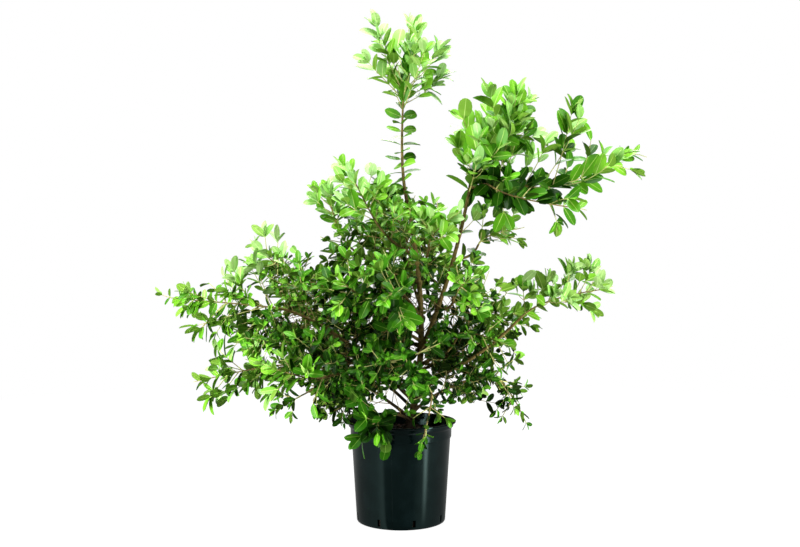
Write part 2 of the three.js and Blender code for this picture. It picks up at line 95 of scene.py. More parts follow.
# Boughs: the limb each is on, the share of that limb's length, its tip, its bow and its radii.
BOUGHS = {
    "right_leader": ("trunk", 0.38, (176, -50, 862), (10, -4, -14), (6.2, 4)),
    "plume_arm": ("right_leader", 0.955, (330, -62, 842), (4, 0, 8), (3.6, 3)),
    "plume_under": ("plume_arm", 0.16, (226, -100, 838), (0, 0, 6), (2.8, 2.4)),
    "right_shoot": ("right_leader", 0.55, (196, -20, 700), (8, 0, -10), (3.4, 2.6)),
    "right_arm": ("trunk", 0.24, (304, -32, 518), (10, 0, -16), (5.4, 3.2)),
    "right_low": ("trunk", 0.13, (222, -20, 366), (0, 0, 18), (4.2, 2.6)),
    "right_mid": ("trunk", 0.3, (140, -72, 470), (6, -6, -12), (4, 2.8)),
    "front_right": ("right_leader", 0.26, (128, -132, 566), (6, -14, -9), (3.8, 2.8)),
    "left_arm": ("trunk", 0.17, (-318, -22, 540), (-26, 0, 52), (5.6, 3.2)),
    "left_upper": ("trunk", 0.45, (-236, 8, 604), (-12, 0, 22), (4.6, 3)),
    "left_low": ("trunk", 0.1, (-236, 62, 386), (-6, 0, 24), (4.4, 2.8)),
    "left_mid": ("trunk", 0.21, (-142, -72, 408), (-8, -6, 14), (4.2, 2.8)),
    "left_front": ("left_mid", 0.5, (-182, -146, 378), (-4, -8, 10), (3, 2.4)),
    "left_hang": ("left_low", 0.5, (-206, -36, 344), (-4, -8, 14), (3.2, 2.4)),
    "upper_left": ("trunk", 0.77, (-60, -58, 752), (-8, -6, -6), (3.8, 2.6)),
    "upper_left_back": ("trunk", 0.66, (-132, 20, 696), (-10, 2, -8), (4, 2.6)),
    "centre_front": ("trunk", 0.52, (2, -118, 582), (-4, -10, 6), (4, 2.6)),
    "centre_left": ("trunk", 0.42, (-84, -98, 556), (-8, -10, 0), (4, 2.6)),
    "centre_top": ("trunk", 0.72, (70, -62, 700), (6, -4, -8), (3.6, 2.6)),
    "centre_low": ("trunk", 0.26, (20, -116, 414), (0, -12, 8), (4, 2.6)),
    "front_drape": ("trunk", 0.09, (-48, -146, 284), (0, -6, 12), (4, 2.6)),
    "front_trail": ("trunk", 0.185, (72, -112, 342), (4, -8, 10), (3.6, 2.4)),
    "back_left": ("trunk", 0.4, (-162, 176, 496), (-8, 12, 0), (4.8, 3)),
    "back_right": ("trunk", 0.32, (182, 190, 488), (8, 14, -8), (4.8, 3)),
    "back_mid": ("trunk", 0.56, (22, 168, 640), (0, 14, -6), (4.2, 2.8)),
    "back_low_left": ("trunk", 0.14, (-122, 196, 368), (-6, 10, 16), (4.4, 2.8)),
    "back_low_right": ("trunk", 0.16, (142, 196, 366), (6, 10, 16), (4.2, 2.8)),
    "back_upper": ("trunk", 0.74, (12, 84, 726), (0, 8, -8), (3.8, 2.6)),
}

# Masses, in the source's order. How each grows: its stem's tip, pairs of shoots, the share of the first pair,
# reach, splay and lift. Its looks: the length of a full-grown leaf, its shade, from 0, palest, to 6, deepest,
# the share of nodes with side twigs, how far those bend up, and how wide leaves open from the twig.
Growth = namedtuple("Growth", "tip pairs first reach splay lift")
Looks = namedtuple("Looks", "leaf tone fill rise opening")
# The tones run pale at the crown's top and deep in the low and front masses under it: partly the leaves' own
# age, partly painted light above and painted shade below.
MASSES = {
    "crown_tuft": (((14, 0, 1184), 3, 0.62, 215, 46, 0.3), (56, 1.5, 0.04, 1.2, 44)),
    "plume_inner": (((284, -36, 1016), 4, 0.05, 156, 58, 0.5), (60, 2.7, 0.25, 1.2, 42)),
    "plume_outer": (((544, -60, 914), 4, 0.06, 222, 56, 0.75), (61, 3.5, 0, 1.2, 42)),
    "plume_skirt": (((430, -112, 786), 3, 0.05, 70, 62, -0.3), (60, 4.7, 0, 0, 58)),
    "right_shoot": (((284, -26, 738), 3, 0.1, 80, 52, 0.2), (44, 2.5, 0, 0.5, 50)),
    "right_arm": (((498, -42, 586), 3, 0.06, 100, 56, 0.45), (54, 1.9, 0.9, 0.6, 50)),
    "right_low": (((304, -22, 276), 3, 0.08, 92, 56, -0.1), (32, 5.1, 0.4, 0.1, 60)),
    "right_mid": (((230, -108, 464), 3, 0.05, 104, 62, 0), (36, 4.8, 0.35, 0.3, 60)),
    "front_right": (((150, -206, 606), 3, 0.06, 84, 60, 0.1), (44, 3.9, 0.8, 0.3, 58)),
    "left_arm": (((-556, -22, 562), 4, 0.05, 150, 56, -0.35), (46, 3.4, 0.4, 0, 60)),
    "left_upper": (((-358, 6, 684), 3, 0.06, 118, 56, 0.5), (54, 1, 0, 0.9, 50)),
    "left_low": (((-500, 70, 352), 3, 0.05, 130, 56, 0.1), (56, 2.6, 0.5, 0.3, 52)),
    "left_mid": (((-300, -96, 452), 3, 0.06, 124, 60, 0), (38, 4.7, 1, 0.3, 60)),
    "left_front": (((-292, -192, 402), 3, 0.05, 104, 60, -0.1), (50, 3.7, 0.5, 0.2, 58)),
    "left_hang": (((-296, -46, 296), 3, 0.08, 64, 56, -0.4), (38, 5.1, 0, 0, 56)),
    "upper_left": (((-112, -74, 850), 3, 0.08, 92, 56, 0.3), (52, 2.3, 0.35, 1, 46)),
    "upper_left_back": (((-184, 20, 820), 3, 0.08, 76, 54, 0.3), (48, 2.3, 0.5, 0.9, 48)),
    "centre_front": (((-28, -212, 574), 3, 0.06, 106, 62, 0), (52, 4.7, 0.7, 0.4, 58)),
    "centre_left": (((-134, -160, 602), 3, 0.08, 100, 60, 0.1), (46, 4.6, 0.8, 0.4, 58)),
    "centre_top": (((118, -96, 758), 3, 0.06, 100, 60, 0.1), (50, 2.9, 0.5, 0.6, 52)),
    "centre_low": (((8, -204, 436), 3, 0.05, 130, 64, 0), (36, 5.7, 0.9, 0.2, 60)),
    "front_drape": (((-54, -188, 268), 3, 0.06, 72, 60, -0.15), (58, 5.3, 0.2, 0, 60)),
    "front_trail": (((50, -168, 226), 3, 0.08, 60, 54, -0.1), (31, 5.5, 0, 0, 58)),
    "back_left": (((-300, 276, 520), 3, 0.05, 160, 60, 0.1), (46, 3.6, 0.7, 0.4, 56)),
    "back_right": (((310, 282, 520), 3, 0.05, 160, 60, 0.1), (46, 3.6, 0.7, 0.4, 56)),
    "back_mid": (((28, 294, 680), 3, 0.05, 150, 62, 0.1), (46, 3.2, 0.7, 0.4, 54)),
    "back_low_left": (((-214, 300, 334), 3, 0.05, 140, 60, 0), (42, 4, 0.7, 0.2, 58)),
    "back_low_right": (((236, 298, 336), 3, 0.05, 140, 60, 0), (42, 4, 0.7, 0.2, 58)),
    "back_upper": (((-4, 150, 790), 3, 0.06, 110, 58, 0.2), (46, 3, 0.7, 0.5, 50)),
}

# Tubes: the radii at foot and tip, the sides and the steps along.
STEM_TUBE = ((2.4, 1.3), 7, 14)
SHOOT_TUBE = ((1.5, 0.8), 5, 5)
END_TUBE = ((1.5, 0.8), 5, 4)
TWIG_TUBE = ((1, 0.6), 4, 3)
STEM = Named(straight=0.3, roll=0.4, deeper=0.3, youth=2)
SHOOT = Named(bare=0.15, sway=(-12, 12), lengths=(0.8, 1.15), youth=1.6, checked=(0.6, 0.8, 1))
END = Named(share=0.35, scale=0.78, paler=0.8, youth=1.2)
TWIG = Named(lengths=(0.45, 0.85), least=24, splay=50, sway=(-10, 10), bare=0.3, scale=0.8, on_stem=0.7)
TWIG_CHECKED = (0.4, 0.7, 1)
ROLL = (-0.5, 0.5)
MORE = Named(length=0.85, lift=0.2, rise=0.6)
NODE_GAP, NODE_END = 26, 3
LAST_OPEN, END_OPEN = 0.72, 20
LEAF = Named(range=(0.8, 1.2), width=(0.44, 0.58), spread=10, near_tip=0.9, shades=(-1.3, 1.3))
PAIR = Named(taper=0.2, foot=0.75, end=0.78, deeper=0.5, fading=1.5)
BLADE = Named(bend=(0.05, 0.55), fold=(0.22, 0.6), curl=(0.05, 0.28))
FACING = Named(along=0.7, up=0.6, out=1.2, front=1.1, high=740, twist=(-0.8, 0.8))
HEART = (15, 0, 420)

# What most masses share, and where one differs. A mass is on the bough of its own name, or on its limb here.
COMMON = {
    "gap": NODE_GAP, "reach": 1, "shorten": 0.45, "taper": PAIR.taper, "youth": 1, "green": False,
    "tube": STEM_TUBE,
}
OWN = {
    "crown_tuft": {"limb": "trunk", "gap": 32, "more": 0.6, "tube": ((4.6, 1.5), 7, 14)},
    "plume_inner": {"limb": "right_leader", "more": 0.7, "green": True},
    "plume_outer": {
        "limb": "plume_arm", "gap": 38, "more": 0, "shorten": 0.95, "end_lift": -0.9, "green": True,
    },
    "plume_skirt": {"limb": "plume_under", "shorten": -0.3},
    "right_shoot": {"gap": 30, "green": True},
    "left_arm": {"shorten": 0.95, "taper": 0.35, "end_lift": 0.3},
    "left_upper": {"gap": 32, "reach": 0.75},
    "left_front": {"reach": 0.68},
    "left_hang": {"reach": 0.85},
    "front_drape": {"youth": 0.35},
    "front_trail": {"youth": 0.5},
}

# Leaves on bare lengths: the limb or stem, the span of shares, their length, gap, opening and shade, and
# whether they lie in one row above and one below that face the front.
# The deep rows on and under the plume's arm and skirt are partly painted shade, for leaves in the plume's
# shadow.
LEAFY = [
    ("right_leader", (0.94, 0.99), 58, 10, 60, 5, False),
    ("plume_arm", (0, 1), 62, 20, 45, 5.4, True),
    ("plume_arm", (0.1, 1), 60, 26, 120, 5.2, True),
    ("plume_under", (0.1, 1), 60, 22, 50, 5.4, True),
    ("plume_outer_leaves", (0, 0.3), 60, 26, 50, 4.6, True),
    ("plume_skirt_leaves", (0, 0.65), 60, 24, 50, 5.3, True),
    ("crown_tuft_leaves", (0.04, 0.62), 50, 17, 76, 2.8, False),
    ("right_shoot", (0.25, 1), 40, 22, 60, 3.4, False),
    ("upper_left_back_leaves", (0, 0.4), 44, 16, 60, 3.4, False),
    ("plume_inner_leaves", (0, 0.16), 52, 9, 60, 5, False),
    ("plume_under", (0.15, 0.95), 54, 20, 60, 5.3, False),
    ("plume_skirt_leaves", (0, 0.5), 52, 22, 60, 5.2, False),
    ("left_arm_leaves", (0.62, 1), 34, 13, 50, 2.5, True),
    ("crown_tuft_leaves", (0.66, 0.98), 56, 24, 34, 3.6, True),
]
ROW = Named(front=2.5, spread=32)
TO_FRONT = {"crown_tuft_leaves": 2.4}

# Added shoots: the mass whose looks they have, the limb or stem if it isn't that mass's own, the bare share,
# and for each shoot the share of the stem's length, the way across it, the length, the splay and the lift.
SHOOTS = [
    ("crown_tuft", None, 0.2, [
        (0.8, 1, 158, 36, 0.25), (0.7, 3, 118, 60, 0.2), (0.72, 2, 112, 34, 0.4), (0.7, 1, 128, 54, 0.1),
        (0.66, 3, 100, 62, 0.3), (0.75, 3, 148, 40, 0.15), (0.88, 3, 110, 14, 0.3),
    ]),
    ("plume_outer", None, 0.34, [(0.2, 0, 186, 66, 0.6)]),
    ("plume_inner", "right_leader", 0.36, [
        (0.93, 1, 116, 66, 0.5), (0.96, 2, 118, 50, 0.9), (0.98, 1, 126, 50, 0.8),
    ]),
    ("plume_inner", "plume_arm", 0.45, [(0.42, 0, 222, 74, 0.4)]),
    ("upper_left_back", None, 0.25, [(0.75, 1, 84, 50, 0.4)]),
    ("plume_inner", "plume_arm", 0.36, [
        (0.15, 0, 128, 70, 0.6), (0.32, 3, 138, 66, 0.9), (0.48, 0, 140, 66, 0.8), (0.66, 3, 126, 66, 0.9),
        (0.84, 0, 118, 62, 0.9),
    ]),
    ("left_upper", "left_arm_leaves", 0.36, [
        (0.02, 0, 122, 56, 0.6), (0.12, 3, 118, 50, 0.6), (0.24, 0, 104, 50, 0.5),
    ]),
    ("left_arm", None, 0.3, [(0.1, 2, 178, 22, -0.05)]),
    ("left_low", None, 0.2, [
        (0.74, 0, 70, 40, 0.2), (0.72, 2, 66, 42, -0.25), (0.82, 2, 75, 40, -0.2),
    ]),
    ("plume_inner", "right_leader", 0.36, [(0.98, 0, 92, 34, 0.5)]),
    ("left_upper", None, 0.3, [(0.85, 0, 54, 40, 0.8)]),
    ("upper_left_back", None, 0.25, [(0.85, 2, 52, 45, 0.8)]),
    ("upper_left", None, 0.25, [(0.9, 1, 64, 30, 0.8)]),
    ("plume_outer", None, 0.3, [(0.86, 2, 60, 40, 0)]),
    ("left_upper", "left_arm_leaves", 0.3, [(0.3, 0, 96, 40, 0.4)]),
    ("left_arm", None, 0.3, [(0.5, 2, 96, 46, -0.3)]),
    ("upper_left_back", None, 0.2, [(0.1, 2, 70, 50, 0.3)]),
    ("right_arm", None, 0.2, [(0.45, 0, 70, 45, 0.5), (0.75, 0, 60, 50, 0.4)]),
    ("right_mid", "right_arm", 0.2, [(0.72, 2, 70, 100, -0.1)]),
    ("right_low", "right_low", 0.1, [
        (0.45, 0, 64, 55, 0.2), (0.55, 2, 50, 55, 0), (0.4, 3, 50, 60, 0.1), (0.42, 1, 56, 60, 0.1),
    ]),
    ("right_mid", "right_arm", 0.2, [(0.62, 2, 70, 90, -0.1), (0.8, 2, 60, 100, -0.1)]),
    ("front_right", "right_leader", 0.2, [(0.48, 2, 60, 60, 0.4)]),
    ("centre_top", "right_leader", 0.2, [(0.7, 2, 46, 40, 0.4), (0.62, 3, 70, 45, 0.6)]),
    ("left_arm", None, 0.2, [(0.4, 2, 90, 60, -0.2), (0.62, 3, 80, 40, 0)]),
    ("left_low", None, 0.2, [(0.66, 3, 60, 50, 0.2)]),
]

# Inner twigs on a span of each limb, and where a limb differs. Their leaves' size and shade go by height:
# the shade is deeper lower down, partly older leaves and partly painted shade inside the crown.
INNER = dict(
    span=(0.2, 0.97), gap=18, uneven=0.8, share=0.85, length=(55, 150), splay=(43, 76), lift=(-0.1, 0.5),
    roll=(-0.6, 0.6), leaf=(25, 38), fill=0.6, rise=0.2, opening=60, youth=0.8, reach=1, paler=0,
    open_front=False,
)
INNER_OWN = {
    "trunk": {"span": (0.2, 0.86), "open_front": True},
    "right_leader": {"span": (0.1, 0.38), "open_front": True},
    "right_arm": {"span": (0.15, 0.45)},
    "right_low": {"span": (0.2, 0.6)},
    "right_mid": {"span": (0.2, 0.55)},
    "left_arm": {"gap": 10, "reach": 1.5, "paler": 1.4},
    "left_upper": {"span": (0.2, 0.6), "paler": 1.8},
    "left_low": {"span": (0.2, 0.65), "reach": 1.15},
    "left_mid": {"gap": 13, "reach": 1.25},
    "left_front": {"span": (0.2, 0.55)},
    "left_hang": {"span": (0.1, 0.5)},
    "upper_left": {"span": (0.2, 0.8)},
    "front_drape": {"span": (0.3, 0.6)},
    "front_trail": {"span": (0.2, 0.6)},
    "back_low_left": {"span": (0.45, 0.97)},
    "back_low_right": {"span": (0.45, 0.97)},
}
NO_INNER = ("plume_arm", "plume_under", "right_shoot")
INNER_ROLL, FORWARD = (-3, 3), 0.3
# Partly painted shade: inner leaves get deeper shades the lower they grow.
INNER_TONE_AND_SHADE = ((470, 580, 700), (6.1, 5.2, 3.2))
INNER_SIZE = ((580, 700), (1, 1.35))

# Spans of these limbs stay in view from the front: leaves that come this near before them are left out.
IN_VIEW = {"trunk": (0.42, 0.74), "right_leader": (0, 0.95)}
VIEW_GAP, VIEW_POINTS = 9, 60
# Openings of the crown, where background or bare pot shows from the front: the middle, half the width and
# half the height, on the plane of the pot's axis.
OPENINGS = [
    (-250, 748, 43, 51), (-514, 631, 46, 31), (-248, 273, 20, 51), (-414, 276, 61, 31), (363, 771, 23, 36),
    (273, 656, 56, 31), (376, 1045, 15, 46), (539, 1024, 41, 61), (590, 840, 51, 31), (301, 902, 20, 18),
    (-8, 1275, 10, 26), (72, 1254, 8, 36), (-100, 1229, 20, 20), (207, 273, 15, 36), (166, 276, 51, 20),
    (-8, 304, 31, 23), (-416, 401, 13, 31), (-514, 432, 36, 23), (355, 291, 31, 56), (-549, 324, 20, 56),
    (-396, 728, 18, 26), (611, 976, 41, 20), (552, 973, 31, 18), (496, 1040, 18, 56), (130, 1075, 23, 23),
    (503, 782, 23, 26), (322, 748, 20, 36), (411, 524, 41, 20), (560, 598, 15, 36), (-202, 748, 26, 18),
    (59, 851, 31, 26), (227, 610, 20, 23), (2, 212, 20, 61), (-13, 145, 31, 26),
]
POT_CLEARANCE = 3
MASS_SLACK, WHOLE_SLACK = 20, 5
CAMERA = Named(x=-2.555, distance=2400, height=627, lens=42.27, sensor=36)


def unit(v):
    return v / np.linalg.norm(v)


def place(mm):
    return np.array(mm, float) * MM


# Even draws between low and high from a seeded stream.
def dice(seed):
    mask = 0xFFFFFFFF
    state = seed & mask

    def draw(low, high):
        nonlocal state
        state = (state + 0x6D2B79F5) & mask
        mixed = ((state ^ (state >> 15)) * (state | 1)) & mask
        mixed ^= (mixed + (((mixed ^ (mixed >> 7)) * (mixed | 61)) & mask)) & mask
        return low + (high - low) * ((mixed ^ (mixed >> 14)) & mask) / 4294967296

    return draw


# A quadratic curve read by share of its length.
class Curve:
    DIVISIONS = 100

    def __init__(self, foot, control, tip):
        self.corners = np.array([foot, control, tip])
        self.times = np.linspace(0, 1, self.DIVISIONS + 1)
        steps = np.linalg.norm(np.diff(self.points(self.times), axis=0), axis=1)
        self.lengths = np.concatenate([[0], np.cumsum(steps)])
        self.length = self.lengths[-1]

    def points(self, t):
        a, b, c = self.corners
        t = np.asarray(t)[..., None]
        return (1 - t) ** 2 * a + 2 * t * (1 - t) * b + t**2 * c

    def time(self, share):
        return np.interp(np.asarray(share) * self.length, self.lengths, self.times)

    def at(self, share):
        return self.points(self.time(share))

    def tangent(self, share):
        a, b, c = self.corners
        t = np.asarray(self.time(share))[..., None]
        way = 2 * (1 - t) * (b - a) + 2 * t * (c - b)
        return way / np.linalg.norm(way, axis=-1, keepdims=True)


def bowed(foot, tip, bow):
    return Curve(foot, (foot + tip) / 2 + 2 * bow, tip)


def turn(v, axis, angle):
    along = axis * np.dot(axis, v)
    return along + (v - along) * cos(angle) + np.cross(axis, v) * sin(angle)


# A unit vector square to axis, turned by angle from the level.
def sideways(axis, angle):
    upright = abs(axis[2]) > 0.95
    level = np.array([1.0, 0, 0]) if upright else unit(np.cross(UP, axis))
    return turn(unit(level - axis * np.dot(level, axis)), axis, angle)


# A curve that knows which way is level, so that leaves and shoots can stand on it.
class Twig:
    def __init__(self, curve, level):
        self.curve, self.level = curve, level

    # Where the twig is at a share, which way it runs, and the four ways square to that.
    def frame(self, share):
        foot, axis = self.curve.at(share), self.curve.tangent(share)
        side = unit(self.level - axis * np.dot(self.level, axis))
        other = np.cross(axis, side)
        return foot, axis, (other, -side, -other, side)


def rolled(curve, roll):
    return Twig(curve, sideways(curve.tangent(0.0), roll))


def leaning(axis, way, degrees):
    angle = radians(degrees)
    return unit(axis * cos(angle) + way * sin(angle))


# Meshes gathered from arrays

def linked(name, data):
    made = bpy.data.objects.new(name, data)
    scene.collection.objects.link(made)
    return made


class Piece:
    def __init__(self):
        self.points, self.faces, self.finishes, self.count = [], [], [], 0

    def add(self, points, faces, finish=0):
        """faces holds the corners of each face; finish is a number or one for each face."""
        self.points.append(np.asarray(points, float).reshape(-1, 3))
        self.extend(np.asarray(faces) + self.count, finish)
        self.count += len(self.points[-1])

    def extend(self, faces, finish=0):
        self.faces += faces.tolist()
        self.finishes.append(np.broadcast_to(finish, len(faces)))

    def mesh(self, name, flat=False):
        made = bpy.data.meshes.new(name)
        made.from_pydata(np.concatenate(self.points).tolist(), [], self.faces, shade_flat=flat)
        return made

    def build(self, name, materials, slot, replaced=(), sharp=50):
        mesh = self.mesh(name)
        mesh.polygons.foreach_set("material_index", np.concatenate(self.finishes).astype(np.int32))
        mesh.validate()
        mesh.set_sharp_from_angle(angle=radians(sharp))
        for material in materials:
            mesh.materials.append(material)
        piece = linked(name, mesh)
        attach(piece, "root")
        if replaced:
            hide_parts(*replaced)
        return piece


def grid_faces(rows, sides):
    """Quads between rows of sides points each, outward for rows that run along a limb."""
    i, j = np.meshgrid(np.arange(rows - 1), np.arange(sides), indexing="ij")
    k = (j + 1) % sides
    quads = np.stack([i * sides + j, i * sides + k, (i + 1) * sides + k, (i + 1) * sides + j], -1)
    return quads.reshape(-1, 4)


def rings_along(curve, shares, sides):
    """Ring centres and the unit ways out of each ring, carried along the curve without twisting."""
    centres, ways = curve.at(shares), curve.tangent(shares)
    side = sideways(ways[0], 0)
    angles = np.linspace(0, 2 * pi, sides, endpoint=False)
    outs = []
    for way in ways:
        side = unit(side - way * np.dot(side, way))
        other = np.cross(way, side)
        outs.append(np.outer(np.cos(angles), side) + np.outer(np.sin(angles), other))
    return centres, np.array(outs)


def add_rings(piece, rings, tip):
    """Rings of points along a limb, closed at its tip."""
    rows, sides = rings.shape[:2]
    start, last = piece.count, (rows - 1) * sides
    piece.add(np.concatenate([rings.reshape(-1, 3), tip[None]]), grid_faces(rows, sides))
    cap = [[last + j, last + (j + 1) % sides, rows * sides] for j in range(sides)]
    piece.extend(np.array(cap) + start)


def add_tube(piece, curve, radii, sides, steps):
    shares = np.linspace(0, 1, steps + 1)
    centres, outs = rings_along(curve, shares, sides)
    radius = (radii[0] + (radii[1] - radii[0]) * shares) * MM
    tip = curve.at(1.0) + curve.tangent(1.0) * radius[-1]
    add_rings(piece, centres[:, None] + outs * radius[:, None, None], tip)


# Materials
WHITE = (1, 1, 1, 1)
MOTTLE_DETAIL, BUMP_STRENGTH = 4, 0.6
GLOSS = Named(scale=60, detail=3, low=0.3, high=0.7)


def feed(node, inputs):
    """Gives each named input of a node its value: a number, a colour or another node's output."""
    for key, value in inputs.items():
        if isinstance(value, bpy.types.NodeSocket):
            node.id_data.links.new(value, node.inputs[key])
        else:
            node.inputs[key].default_value = value


def added(tree, kind, inputs):
    node = tree.nodes.new(f"ShaderNode{kind}")
    if kind == "Mix":
        node.data_type = "RGBA"
    feed(node, inputs)
    return node


def material(name, color, roughness, specular, bump, mottle=None, vary=0.0, painted_shade_below=None):
    """bump: scale, detail, distance. mottle: second colour, scale, low, high. The shade below is painted
    shade low down: its colour, and the heights in mm where it fades out.
    """
    made = bpy.data.materials.new(name)
    made.use_nodes = True
    tree = made.node_tree
    shader = tree.nodes["Principled BSDF"]
    base, gloss = (*color, 1), roughness
    feed(shader, {"Base Color": base, "Roughness": gloss, "Specular IOR Level": specular})
    where = added(tree, "TexCoord", {}).outputs["Object"]

    def cloud(scale, detail):
        return added(tree, "TexNoise", {"Vector": where, "Scale": scale, "Detail": detail}).outputs["Fac"]

    def ranged(value, low, high, to_low=0, to_high=1):
        limits = {"From Min": low, "From Max": high, "To Min": to_low, "To Max": to_high}
        return added(tree, "MapRange", {"Value": value, **limits}).outputs["Result"]

    def mixed(factor, first, second):
        return added(tree, "Mix", {"Factor": factor, "A": first, "B": second}).outputs["Result"]

    if mottle:
        second, scale, low, high = mottle
        base = mixed(ranged(cloud(scale, MOTTLE_DETAIL), low, high), base, (*second, 1))
    # Painted shade: below the given heights the colour turns darker, as if in the crown's shadow.
    if painted_shade_below:
        dark, low, high = painted_shade_below
        height = added(tree, "SeparateXYZ", {"Vector": where}).outputs["Z"]
        base = mixed(ranged(height, low * MM, high * MM), (*dark, 1), base)
    if vary:
        spots = cloud(GLOSS.scale, GLOSS.detail)
        gloss = ranged(spots, GLOSS.low, GLOSS.high, roughness - vary, roughness + vary)
    scale, detail, distance = bump
    relief = {"Strength": BUMP_STRENGTH, "Distance": distance, "Height": cloud(scale, detail)}
    normal = added(tree, "Bump", relief).outputs["Normal"]
    feed(shader, {"Base Color": base, "Roughness": gloss, "Normal": normal})
    return made


# Leaves: shades from the palest young tips to the deepest inside, with the rib and the underside of each. The
# deepest are near black: partly older leaves and partly painted shade for the crown's dark inside.
SHADES = [
    ((0.33, 0.58, 0.19), (0.56, 0.75, 0.34), (0.35, 0.55, 0.18)),
    ((0.215, 0.47, 0.085), (0.52, 0.71, 0.26), (0.265, 0.455, 0.095)),
    ((0.145, 0.385, 0.018), (0.45, 0.65, 0.16), (0.19, 0.37, 0.042)),
    ((0.07, 0.25, 0.007), (0.32, 0.51, 0.09), (0.125, 0.265, 0.024)),
    ((0.034, 0.15, 0.004), (0.2, 0.37, 0.05), (0.07, 0.165, 0.012)),
    ((0.016, 0.08, 0.0025), (0.11, 0.23, 0.024), (0.036, 0.09, 0.007)),
    ((0.0058, 0.03, 0.0016), (0.04, 0.09, 0.01), (0.014, 0.036, 0.004)),
]
TOP_ROUGHNESS, ROUGHNESS_STEP, MIDDLE_SHADE = 0.36, 0.02, 3
TOP_SPECULAR = ((2, 3, 5), (0.22, 0.15, 0.07))
LEAF_PIECES = {
    "leaves_tip": (0, 1), "leaves_young": (2,), "leaves_grown": (3,), "leaves_mature": (4,),
    "leaves_old": (5,), "leaves_deep": (6,),
}
PLAIN_BELOW = 34

# Outline: shares along the leaf from its stalk's foot with the half widths there, and the rib's. Across each
# row come the edge, the middle of the half blade and the rib, and the rib again below. A small leaf has fewer
# rows, no middle and one point under the rib.
OUTLINE = (
    (0, 0.07, 0.18, 0.33, 0.5, 0.67, 0.82, 0.94, 1),
    (0.07, 0.11, 0.6, 0.91, 1, 0.97, 0.8, 0.46, 0.1),
)
RIB = ((0, 0.1, 1), (0.06, 0.075, 0.02))
FULL_ROWS = (0, 0.08, 0.2, 0.4, 0.62, 0.82, 0.94, 1)
PLAIN_ROWS = (0, 0.1, 0.36, 0.72, 0.92, 1)
MIDDLE = 0.56
THICK, RIDGE = 0.45, 0.15

# Each leaf is a row: foot, way and across, three numbers each, then length, width, bend, fold, curl, shade.
leaf_rows = []
LENGTH_AT, SHADE_AT = 9, 14
TOP_FINISH, RIB_FINISH, UNDER_FINISH = range(3)


def leaf_materials(shade):
    top, rib, under = SHADES[shade]
    roughness = TOP_ROUGHNESS + ROUGHNESS_STEP * (MIDDLE_SHADE - shade)
    specular = np.interp(shade, *TOP_SPECULAR)
    return [
        material(f"leaf_top_{shade}", top, roughness, specular, (420, 3, 0.0004), vary=0.07),
        material(f"leaf_rib_{shade}", rib, 0.5, 0.25, (500, 2, 0.0002), vary=0.05),
        material(f"leaf_under_{shade}", under, 0.75, 0.10, (600, 3, 0.0004), vary=0.06),
    ]


def build_leaves(replaced):
    rows = np.array(leaf_rows)
    plain = rows[:, LENGTH_AT] < PLAIN_BELOW * MM
    for name, shades in LEAF_PIECES.items():
        chosen = np.isin(rows[:, SHADE_AT], shades)
        piece = Piece()
        fill_leaves(piece, rows[chosen & ~plain], shades, FULL_ROWS, True)
        fill_leaves(piece, rows[chosen & plain], shades, PLAIN_ROWS, False)
        materials = [made for shade in shades for made in leaf_materials(shade)]
        piece.build(name, materials, "foliage", replaced)


def fill_leaves(piece, rows, shades, shares, with_middle):
    foot, way, across = rows[:, None, None, 0:3], rows[:, None, None, 3:6], rows[:, None, None, 6:9]
    length, width, bend, fold, curl = (rows[:, i][:, None, None] for i in range(LENGTH_AT, SHADE_AT))
    face = np.cross(way, across)
    half, rib = np.interp(shares, *OUTLINE), np.interp(shares, *RIB)
    middle = half * MIDDLE + rib * (1 - MIDDLE)
    lanes = [-half, -middle, -rib, rib, middle, half] if with_middle else [-half, -rib, rib, half]
    top = len(lanes)
    below = [-rib, rib] if with_middle else [np.zeros(len(shares))]
    asides = np.stack(lanes + below, 1)[None]
    along = np.broadcast_to(np.array(shares)[None, :, None], asides.shape)
    lean = bend * along
    x = length * np.sin(lean) / bend
    z = -length * (1 - np.cos(lean)) / bend
    size = abs(asides)
    rise = (fold * size - curl * size**2) * width / 2
    level = np.zeros(asides.shape)
    level[..., top:] = -THICK * MM
    level[..., top // 2 - 1:top // 2 + 1] = RIDGE * MM
    z = z + rise * np.cos(lean) + level
    x = x + rise * np.sin(lean)
    points = foot + way * x[..., None] + across * (asides * width / 2)[..., None] + face * z[..., None]

    row = top + len(below)
    underside = [0, *range(top, row), top - 1]
    tops, ribs, unders = [], [], []
    for i in range(len(shares) - 1):
        low, high = i * row, (i + 1) * row
        for j in range(top - 1):
            quad = [low + j, high + j, high + j + 1, low + j + 1]
            (ribs if j == top // 2 - 1 or i == 0 else tops).append(quad)
        for a, b in zip(underside, underside[1:]):
            (ribs if a >= top and b >= top else unders).append([low + a, low + b, high + b, high + a])
    end = (len(shares) - 1) * row
    around = [*range(top), *range(row - 1, top - 1, -1)]
    ends = [around, [end + corner for corner in around[::-1]]]
    kinds = ((tops, TOP_FINISH), (ribs, RIB_FINISH), (unders, UNDER_FINISH), (ends, UNDER_FINISH))
    number = np.searchsorted(shades, rows[:, SHADE_AT].astype(int)) * (UNDER_FINISH + 1)
    first = piece.count + np.arange(len(rows))[:, None, None] * row * len(shares)
    piece.points.append(points.reshape(-1, 3))
    piece.count += points.size // 3
    for faces, kind in kinds:
        corners = np.asarray(faces)[None] + first
        piece.extend(corners.reshape(-1, corners.shape[2]), np.repeat(number + kind, len(faces)))


# Limbs
curves = {"trunk": bowed(place(TRUNK.foot), place(TRUNK.tip), place(TRUNK.bow))}
for name, (limb, share, tip, bow, _) in BOUGHS.items():
    curves[name] = bowed(curves[limb].at(share), place(tip), place(bow))
twigs = {name: rolled(curve, STEM.roll) for name, curve in curves.items()}
old_twigs, young_twigs = Piece(), Piece()


def stem_curve(limb, tip):
    along, start = curves[limb].tangent(1.0), curves[limb].at(1.0)
    bend = start + along * STEM.straight * np.linalg.norm(place(tip) - start)
    return Curve(start, bend, place(tip))


# Growth
whole_box = tuple(np.array(corner) for corner in cad_box)


